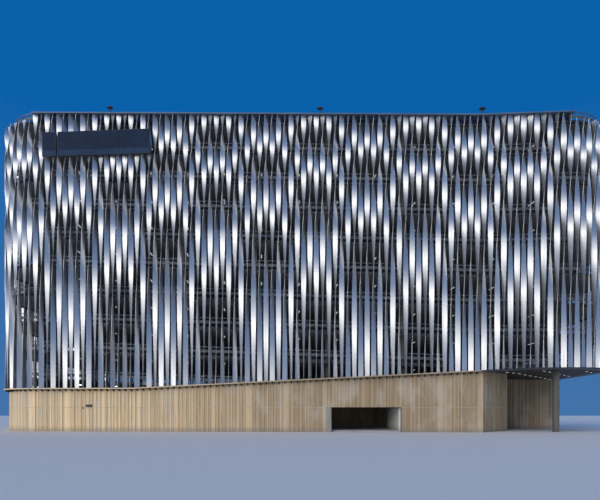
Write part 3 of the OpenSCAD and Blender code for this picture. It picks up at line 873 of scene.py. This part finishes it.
def foot_ledges():
    path = route(0)
    ledge, trim = Shape(), Shape()
    sweep(ledge, path, rectangle(-LEDGE_IN, PLATE_OUT - TRIM_T, -FOOT_PLATE_T, 0), foot_h, closed=True)
    # Painted shade: the trim is dark where it runs over the open corner, and plinth-coloured over the
    # plinth.
    paints = [int(over_plinth(*between(a, b, 0.5)[:2])) for a, b in zip(path, path[1:] + path[:1])]
    edge = rectangle(PLATE_OUT - TRIM_T, PLATE_OUT, -FOOT_PLATE_T, 0)
    sweep(trim, path, edge, foot_h, closed=True, paint=paints)
    ledge.piece("fin_foot_ledges", [STEEL], STEEL_SLOT, ["fin_foot_plates"])
    trim.piece("fin_foot_trims", [DARK_STEEL, PLINTH_TONES[PLAIN]], PLINTH_SLOT)


def foot_brackets():
    """A gusset under the ledge at every fin, from the plinth's face outwards, painted dark as painted shadow
    of the fins on the plinth's top edge.
    """
    shape = Shape()
    for _, _, x, y, angle, _ in FIN_PLACES:
        if not over_plinth(x, y):
            continue
        nx, ny = math.cos(angle), math.sin(angle)
        top = plinth_top(x) + GUSSET_GRIP
        profile = [(GUSSET_ROOT, top), (GUSSET_OUT, top), (GUSSET_OUT, top - GUSSET_EDGE),
                   (GUSSET_TOE, top - GUSSET_H), (GUSSET_ROOT, top - GUSSET_H)]
        shape.loft([[(x + out * nx - side * ny, y + out * ny + side * nx, z) for out, z in profile]
                    for side in (-GUSSET_W / 2, GUSSET_W / 2)])
    # Painted shadow: the gussets are dark steel to give dark ticks under the fin feet.
    shape.piece("foot_gussets", [DARK_STEEL], DARK_SLOT)


# Coping on the roof parapets

COPING_T, COPING_OVER = 0.015, 0.010


def parapet_copings():
    section = rectangle(-PARAPET_T - COPING_OVER, COPING_OVER, PARAPET_H, PARAPET_H + COPING_T)
    shape = Shape()
    for side in ("front", "right", "back", "left"):
        sweep(shape, stretch(side, DECK_INSET), section, deck_top(DECK_COUNT))
    shape.piece("parapet_copings", [DARK_STEEL], DARK_SLOT)


# Bay lines on the roof deck: a row of bays along each long side and two rows back to back between them

MARKING_W, MARKING_T = 0.050, 0.003
BAY_W, BAY_L = 3.820 / 3, 2.350         # three bays to each gap between columns
BAY_LINES_EACH_WAY, BAY_LINES_X = 10, 0.412
BAY_EDGE_Y = DECK_Y - PARAPET_T - 0.060


def marking(shape, x0, x1, y0, y1):
    """A painted strip that follows the deck's fall."""
    top, corners = deck_top(DECK_COUNT), rectangle(x0, x1, y0, y1)
    shape.loft([[(x, y, top(x) + up) for x, y in corners] for up in (-MARKING_T, MARKING_T)])


def bay_lines():
    shape = Shape()
    xs = [BAY_LINES_X + k * BAY_W for k in range(-BAY_LINES_EACH_WAY, BAY_LINES_EACH_WAY + 1)]
    rows = ((-BAY_EDGE_Y, -BAY_EDGE_Y + BAY_L), (-BAY_L, BAY_L), (BAY_EDGE_Y - BAY_L, BAY_EDGE_Y))
    for x in xs:
        for y0, y1 in rows:
            marking(shape, x - MARKING_W / 2, x + MARKING_W / 2, y0, y1)
    for a, b in zip(xs, xs[1:]):
        marking(shape, a + MARKING_W / 2, b - MARKING_W / 2, -MARKING_W / 2, MARKING_W / 2)
    shape.piece("roof_bay_lines", [ROAD_PAINT], PALE_SLOT)


# Lamps, with sections in shares of their width and depth

HOUSING_TOP, HOUSING_LOW, HOUSING_D = 0.50, 0.36, 0.60
COVER_TOP, COVER_LOW, COVER_FROM, COVER_MARGIN = 0.33, 0.24, 0.55, 0.015


def trough(shape, start, end, half_top, half_low, high, low, paint=0):
    """A short body between two points, wider at its top than below, with level ends."""
    nx, ny = facing(start[:2], end[:2])
    section = [(-half_top, high), (half_top, high), (half_low, low), (-half_low, low)]
    shape.loft([[(p[0] + s * nx, p[1] + s * ny, p[2] + up) for s, up in section] for p in (start, end)],
               paint=paint)


def strip_lamp(shape, start, end, width, depth, lit=1):
    """A housing under a ceiling with a milky diffuser, whose paint is lit."""
    trough(shape, start, end, width * HOUSING_TOP, width * HOUSING_LOW, 0.0, -depth * HOUSING_D)
    start, end = Vector(start), Vector(end)
    margin = (end - start).normalized() * COVER_MARGIN
    trough(shape, start + margin, end - margin, width * COVER_TOP, width * COVER_LOW,
           -depth * COVER_FROM, -depth, paint=lit)


LUMINAIRE_L, LUMINAIRE_W, LUMINAIRE_D = 0.610, 0.090, 0.050
LUMINAIRE_GAP, LUMINAIRE_X, LUMINAIRE_Y = 2.070, 0.100, 5.370
LUMINAIRE_TURN = math.radians(8)
LUMINAIRES_EACH_WAY = 6


def deck_luminaires():
    """Lamps under the decks, of which the lowest are brightly lit and end before the open corner."""
    shape = Shape()
    half = (math.sin(LUMINAIRE_TURN) * LUMINAIRE_L / 2, -math.cos(LUMINAIRE_TURN) * LUMINAIRE_L / 2)
    for level in range(1, DECK_COUNT + 1):
        for k in range(-LUMINAIRES_EACH_WAY, LUMINAIRES_EACH_WAY + 1):
            for y in (-LUMINAIRE_Y, LUMINAIRE_Y):
                x = LUMINAIRE_X + k * LUMINAIRE_GAP
                if level == 1 and x > SPLAY_START[0] - LUMINAIRE_L:
                    continue
                ceiling = deck_top(level)(x) - DECK_T
                start = (x - half[0], y - half[1], ceiling)
                end = (x + half[0], y + half[1], ceiling)
                strip_lamp(shape, start, end, LUMINAIRE_W, LUMINAIRE_D, 2 if level == 1 else 1)
    shape.piece("deck_luminaires", [STEEL, DIFFUSER, BRIGHT_DIFFUSER], STEEL_SLOT)


STRIP_L, STRIP_W, STRIP_D = 0.420, 0.050, 0.025
STRIP_GAP, ROW_GAP, FIRST_ROW = 0.900, 1.500, 0.500
SOFFIT_ROWS, STRIPS_EACH_WAY = 4, 12
BATTEN_W, BATTEN_T = 0.020, 0.008


def under_open_corner(x, y, margin):
    """Whether a point lies under the open corner's soffit, clear of its walls and its column."""
    if y > OPEN_BACK_Y - margin or x > FACE_X - margin or y < -FACE_Y + margin:
        return False
    away = math.dist((x, y), (HALF_X, -HALF_Y))
    if x > HALF_X and y < -HALF_Y and away > CORNER_R - FACE_INSET - margin:
        return False
    return not (COLUMN_LEFT_X - margin < x < COLUMN_RIGHT_X + margin and y < COLUMN_BACK_Y + margin)


def bar_ends(middle, direction, length, down):
    """Ends of a level bar under the soffit, from its middle in plan."""
    ends = [[m + side * u * length / 2 for m, u in zip(middle, direction)] for side in (-1, 1)]
    return [(x, y, plinth_top(x) - down) for x, y in ends]


def soffit_fittings():
    """Diagonal rows of strip lamps beside the slanting wall, with battens on the joints between them."""
    out = facing(SPLAY_START, SPLAY_END)
    direction = (-out[1], out[0])
    lamps, battens = Shape(), Shape()
    for row in range(SOFFIT_ROWS):
        away = FIRST_ROW + row * ROW_GAP
        for k in range(-STRIPS_EACH_WAY, STRIPS_EACH_WAY + 1):
            middle = [p + o * away + u * k * STRIP_GAP for p, o, u in zip(SPLAY_START, out, direction)]
            if not under_open_corner(*middle, STRIP_L):
                continue
            strip_lamp(lamps, *bar_ends(middle, direction, STRIP_L, 0), STRIP_W, STRIP_D)
            beside = [m + o * ROW_GAP / 2 for m, o in zip(middle, out)]
            battens.bar(*bar_ends(beside, direction, STRIP_GAP, BATTEN_T / 2), BATTEN_W, BATTEN_T)
    lamps.piece("soffit_strip_lamps", [DARK_STEEL, DIFFUSER], DARK_SLOT)
    battens.piece("soffit_battens", [DARK_STEEL], DARK_SLOT)


# Roof lamps in place of the CAD's plain ones

LAMP_XS, LAMP_INSET = (-9.820, 1.280, 9.470), 0.450
LAMP_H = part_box("roof_lamps")[1].z - ROOF_H - ramp_h(LAMP_XS[0])
LAMP_PLATE_W, LAMP_PLATE_T = 0.180, 0.018
BOLT_R, BOLT_LOW, BOLT_HIGH, BOLT_SHARE = 0.011, 0.010, 0.030, 0.72
LAMP_POST_FROM, LAMP_POST_IN_HEAD, LAMP_POST_TOP_R = 0.015, 0.040, 0.036
LAMP_POST = ((0.066, 0.0), (0.062, 0.012), (0.046, 0.020), (0.044, 0.30), (0.038, 0.31))
LENS_AT, LENS_HALF_L, LENS_HALF_W, LENS_OUT, LENS_IN = 0.24, 0.050, 0.055, 0.004, 0.010
HEAD_L, HEAD_W, HEAD_T = 0.300, 0.200, 0.100
HEAD_SECTION = ((-1, 0.15), (-0.9, 0), (0.9, 0), (1, 0.15), (0.85, 0.75), (0.5, 1), (-0.5, 1), (-0.85, 0.75))
HEAD_RINGS = ((-1, 0.55, 0.35), (-0.92, 0.85, 0.6), (-0.5, 1, 0.9), (0, 1, 1), (0.5, 1, 0.9),
              (0.92, 0.85, 0.6), (1, 0.55, 0.35))


def roof_lamp(shape, x, y):
    """A bolted plate, a stepped post and a flat head with two lenses in its underside."""
    surface = deck_top(DECK_COUNT)
    base, half = surface(x), LAMP_PLATE_W / 2
    top = base + LAMP_H
    low = base + LAMP_POST_FROM
    corners = rectangle(x - half, x + half, y - half, y + half)
    shape.loft([[(*corner, surface(corner[0])) for corner in corners],
                [(*corner, base + LAMP_PLATE_T) for corner in corners]])
    for cx, cy in corners:
        bolt = (x + (cx - x) * BOLT_SHARE, y + (cy - y) * BOLT_SHARE)
        shape.turned(bolt, [(BOLT_R, base + BOLT_LOW), (BOLT_R, base + BOLT_HIGH)], sides=6)
    post = [(r, low + up) for r, up in LAMP_POST]
    shape.turned((x, y), [*post, (LAMP_POST_TOP_R, top - LAMP_POST_IN_HEAD)])
    shape.loft([
        [(x + share * HEAD_L / 2, y + s * width * HEAD_W / 2, top - HEAD_T + up * thick * HEAD_T)
         for s, up in HEAD_SECTION] for share, width, thick in HEAD_RINGS])
    for side in (-1, 1):
        lens = x + side * HEAD_L * LENS_AT
        shape.box((lens - LENS_HALF_L, y - LENS_HALF_W, top - HEAD_T - LENS_OUT),
                  (lens + LENS_HALF_L, y + LENS_HALF_W, top - HEAD_T + LENS_IN), paint=1)


def roof_lamps():
    shape = Shape()
    for x in LAMP_XS:
        for side in (-1, 1):
            roof_lamp(shape, x, side * (DECK_Y - LAMP_INSET))
    shape.piece("roof_floodlights", [DARK_STEEL, GLASS], DARK_SLOT, ["roof_lamps"])


# Bare signs: cassettes in a frame, on arms that reach between the fins to the deck's edge

SIGN_T, SIGN_FRAME, FRAME_BACK = 0.060, 0.016, 0.008
CASSETTE_GAP, CASSETTE_EDGE, CASSETTE_ROUND, CASSETTE_SHORT = 0.003, 0.004, 0.3, 0.010
LOWER_ROW_SHARE = 0.24
SIGN_ANGLE = 8.0
SHEET_FROM, SHEET_TO = 0.012, 0.002
ARM_W, ARM_H, ARM_GRIP, ARM_PLATE_T = 0.030, 0.080, 0.004, 0.006


def cassette(shape, x0, x1, z0, z1, front, back, paint=0):
    """A folded sheet tray whose front edges are slightly rounded."""
    e, near = CASSETTE_EDGE, CASSETTE_EDGE * CASSETTE_ROUND
    steps = ((back, 0), (front + e, 0), (front + near, near), (front, e))
    rings = [[(x, y, z) for x, z in rectangle(x0 + cut, x1 - cut, z0 + cut, z1 - cut)] for y, cut in steps]
    faces = len(shape.paints)
    shape.loft(rings)
    shape.paints[faces:] = [paint] * (len(shape.paints) - faces)


def bare_sign(node, cassettes, arms):
    """Two rows of cassettes, the lower one paler, in a frame with a sheet behind, and arms to the deck."""
    low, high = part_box(node)
    front, back = low.y, low.y + SIGN_T
    left, right = low.x + SIGN_FRAME, high.x - SIGN_FRAME
    bottom, top = low.z + SIGN_FRAME, high.z - SIGN_FRAME
    split = low.z + (high.z - low.z) * LOWER_ROW_SHARE
    width = (right - left - CASSETTE_GAP * (cassettes - 1)) / cassettes
    shape = Shape()
    for i in range(cassettes):
        x0 = left + i * (width + CASSETTE_GAP)
        cassette(shape, x0, x0 + width, bottom, split, front, back - CASSETTE_SHORT, paint=2)
        cassette(shape, x0, x0 + width, split + CASSETTE_GAP, top, front, back - CASSETTE_SHORT)
    for x0, x1, z0, z1 in ((low.x, left, low.z, high.z), (right, high.x, low.z, high.z),
                           (left, right, low.z, bottom), (left, right, top, high.z)):
        shape.box((x0, front + FRAME_BACK, z0), (x1, back, z1), paint=1)
    shape.box((left, back - SHEET_FROM, bottom), (right, back - SHEET_TO, top), paint=1)
    for n in arms:
        x = n * FIN_PITCH
        z = deck_top(DECK_COUNT - 1)(x) - DECK_T / 2
        start = back - ARM_GRIP
        shape.box((x - ARM_W / 2, start, z - ARM_H / 2), (x + ARM_W / 2, -DECK_Y, z + ARM_H / 2), paint=1)
        shape.box((x - ARM_W, start, z - ARM_H), (x + ARM_W, back + ARM_PLATE_T, z + ARM_H), paint=1)
    shape.piece("bare_" + node, [PANEL, DARK_STEEL, PALE_PANEL], DARK_SLOT, [node], smooth_angle=SIGN_ANGLE)


def signs():
    long_low, long_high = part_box("sign_panel")
    small_low, small_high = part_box("small_sign_panel")
    first, last = round(long_low.x / FIN_PITCH) + 1, round(long_high.x / FIN_PITCH) - 1
    bare_sign("sign_panel", 3, range(first, last + 1, (last - first) // 3))
    bare_sign("small_sign_panel", 1, [round((small_low.x + small_high.x) / 2 / FIN_PITCH)])


# Small things on the plinth

LINING_T, LINING_PROUD, LINING_SHORT, HEAD_SET_BACK = 0.012, 0.004, 0.050, 0.010
FITTING_X, FITTING_Z, FITTING_W, FITTING_H = -10.630, 1.330, 0.340, 0.130
FITTING_BEVEL, FITTING_CUT = 0.006, 0.05
FITTING_OUTLINE = ((-0.5, -0.4), (-0.42, -0.5), (0.42, -0.5), (0.5, -0.4),
                   (0.5, 0.4), (0.42, 0.5), (-0.42, 0.5), (-0.5, 0.4))
FITTING_BODIES = ((0.0, 0.020, 1.0), (0.018, 0.050, 0.80))      # housing and lens: from, to, size
HOOK_X, HOOK_Z, HOOK_REACH, HOOK_UP, HOOK_T, HOOK_IN = -10.940, 1.210, 0.090, 0.020, 0.018, 0.010
HOOK_PLATE_W, HOOK_PLATE_H, HOOK_PLATE_T = 0.060, 0.080, 0.012


def entrance_lining():
    """Dark sheet round the reveal of the entrance's right jamb and its head."""
    under = ENTRANCE_H - LINING_T
    shape = Shape()
    shape.box((ENTRANCE_RIGHT_X - LINING_T, -FACE_Y - LINING_PROUD, 0.0),
              (ENTRANCE_RIGHT_X, -DECK_Y + LINING_SHORT, under))
    shape.box((ENTRANCE_LEFT_X, -FACE_Y + HEAD_SET_BACK, under), (ENTRANCE_RIGHT_X, -DECK_Y, ENTRANCE_H))
    shape.piece("entrance_lining", [DARK_STEEL], DARK_SLOT)


def wall_fittings():
    """A bulkhead lamp and a small bracket, near the left end of the front."""
    shape = Shape()
    back = -FACE_Y
    for paint, (start, out, size) in enumerate(FITTING_BODIES):
        steps = ((start, size), (out - FITTING_BEVEL, size), (out, size - FITTING_CUT))
        shape.loft([[(FITTING_X + a * FITTING_W * scale, back - y, FITTING_Z + b * FITTING_H * scale)
                     for a, b in FITTING_OUTLINE] for y, scale in steps], paint=paint)
    shape.box((HOOK_X - HOOK_PLATE_W / 2, back - HOOK_PLATE_T, HOOK_Z - HOOK_PLATE_H / 2),
              (HOOK_X + HOOK_PLATE_W / 2, back, HOOK_Z + HOOK_PLATE_H / 2))
    tip = (HOOK_X, back - HOOK_REACH, HOOK_Z + HOOK_UP)
    shape.bar((HOOK_X, back - HOOK_IN, HOOK_Z), tip, HOOK_T, HOOK_T)
    shape.piece("wall_fittings", [DARK_STEEL, SMOKED], DARK_SLOT)


# The CAD pieces that stay get their finishes, and the rest is made

FINISHES = {
    PLINTH_SLOT: PLINTH_TONES[PLAIN],
    PALE_SLOT: RENDER,
    "deck_concrete": CONCRETE,
    FIN_SLOT: FIN,
    STEEL_SLOT: STEEL,
    "dark_soffit": SOFFIT,
    DARK_SLOT: PANEL,
}
OWN_FINISHES = {"fin_cap_plates": CAPPING_PAINTED_SHADE_AND_SKY, "entrance_pier": PIER, "outer_columns": COLUMN_PAINTED_SHADE}


def finish_cad_nodes():
    for row in frame["record"]["subparts"]:
        mesh = frame["nodes"][row["node"]].data
        mesh.materials.clear()
        mesh.materials.append(OWN_FINISHES.get(row["node"], FINISHES[row["material_slot"]]))


finish_cad_nodes()
fins()
fin_holders()
deck_channels()
barriers()
plinth()
foot_ledges()
foot_brackets()
parapet_copings()
bay_lines()
deck_luminaires()
soffit_fittings()
roof_lamps()
signs()
entrance_lining()
wall_fittings()


# Studio

FLOOR_R, FLOOR_SIDES, FLOOR_DROP = 600.0, 96, 0.004
HORIZON_COLOR = (0.058, 0.172, 0.390)
ZENITH_COLOR = (0.003, 0.117, 0.395)
ZENITH_FROM = 0.50
SUN_AZIMUTH = -33
SUNS = ((11, 0.56, 18), (20, 0.84, 70), (42, 0.64, 60))
SUN_COLOR = (1.0, 0.955, 0.880)
FILL_AZIMUTH, FILL_ELEVATION, FILL_STRENGTH, FILL_SPREAD = 150, 30, 0.35, 80
FILL_COLOR = (0.62, 0.78, 1.0)


def floor():
    mesh = bpy.data.meshes.new("floor")
    work = bmesh.new()
    bmesh.ops.create_circle(work, cap_ends=True, radius=FLOOR_R, segments=FLOOR_SIDES)
    work.to_mesh(mesh)
    work.free()
    made = added("floor", mesh)
    made.location.z = -FLOOR_DROP
    pale = Finish("floor", (0.86, 0.79, 0.70), 0.9)
    pale.color(pale.blend((0.85, 0.78, 0.69), (0.87, 0.80, 0.71), pale.noise(0.15, 3.0)))
    mesh.materials.append(pale.material)


def sun(name, azimuth, elevation, strength, spread, color):
    """A sun lamp. Azimuth 0 shines on the front, and a positive azimuth comes from its right."""
    data = bpy.data.lights.new(name, "SUN")
    data.energy = strength
    data.angle = math.radians(spread)
    data.color = color
    a, e = math.radians(azimuth), math.radians(elevation)
    towards = Vector((math.sin(a) * math.cos(e), -math.cos(a) * math.cos(e), math.sin(e)))
    added(name, data).rotation_euler = towards.to_track_quat("Z", "Y").to_euler()


def sky(tree):
    """A plain backdrop that gets deeper from the horizon upwards."""
    nodes = Nodes(tree)
    coordinates = nodes.node("ShaderNodeTexCoord").outputs["Generated"]
    up = nodes.node("ShaderNodeSeparateXYZ", {"Vector": coordinates}).outputs["Z"]
    share = nodes.node("ShaderNodeMapRange", {"Value": up, "From Max": ZENITH_FROM}).outputs["Result"]
    colors = nodes.node("ShaderNodeValToRGB", {"Fac": share})
    for element, color in zip(colors.color_ramp.elements, (HORIZON_COLOR, ZENITH_COLOR)):
        element.color = (*color, 1)
    nodes.fill(tree.nodes["Background"], {"Color": colors.outputs["Color"]})


def studio():
    floor()
    world = bpy.data.worlds.new("studio")
    world.use_nodes = True
    bpy.context.scene.world = world
    sky(world.node_tree)
    for elevation, strength, spread in SUNS:
        sun(f"sun_{elevation}", SUN_AZIMUTH, elevation, strength, spread, SUN_COLOR)
    sun("cool_fill", FILL_AZIMUTH, FILL_ELEVATION, FILL_STRENGTH, FILL_SPREAD, FILL_COLOR)
    bpy.context.scene.view_settings.view_transform = "Standard"


studio()

# Camera at a standing person's eye in the model's scale, turned a little left

EYE_X, EYE_H, EYE_AWAY = 1.7046, 0.850, 24.0
TURNED_LEFT = math.radians(3.3725)
LENS_MM, SENSOR_MM, RISE, CLIP_END = 28.8, 36.0, 0.275, 2000.0


def camera():
    data = bpy.data.cameras.new("camera")
    data.sensor_fit = "HORIZONTAL"
    data.sensor_width = SENSOR_MM
    data.lens = LENS_MM
    data.shift_y = RISE
    data.clip_end = CLIP_END
    made = added("camera", data)
    made.location = (EYE_X, -LINE_Y - EYE_AWAY, EYE_H)
    made.rotation_euler = (math.radians(90), 0, TURNED_LEFT)
    bpy.context.scene.camera = made


camera()
